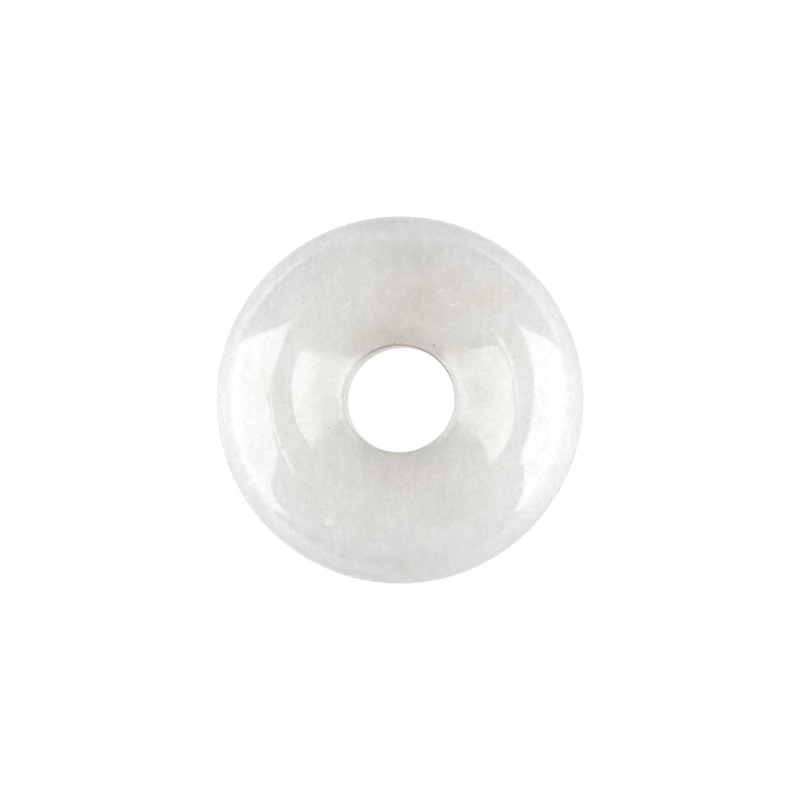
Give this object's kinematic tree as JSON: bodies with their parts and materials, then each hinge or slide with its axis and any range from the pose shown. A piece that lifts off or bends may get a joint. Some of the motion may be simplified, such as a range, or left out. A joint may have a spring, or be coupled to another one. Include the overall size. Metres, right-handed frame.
{
  "type": "white jade donut pendant",
  "caption": "Round polished stone ring with domed faces, a full round rim and a drilled central hole through which a cord or bail passes, worn as a pendant",
  "frame": {"origin": "centre of the drilled hole, at mid thickness", "axes": "+Z is the hole's axis and points out of the face that the picture shows; +Y is the picture's up and +X its right"},
  "size_m": [0.018, 0.018, 0.0054],
  "materials": {
    "white_jade": "polished"
  },
  "bodies": {
    "root": {"jade_donut": "white_jade"}
  },
  "joints": []
}
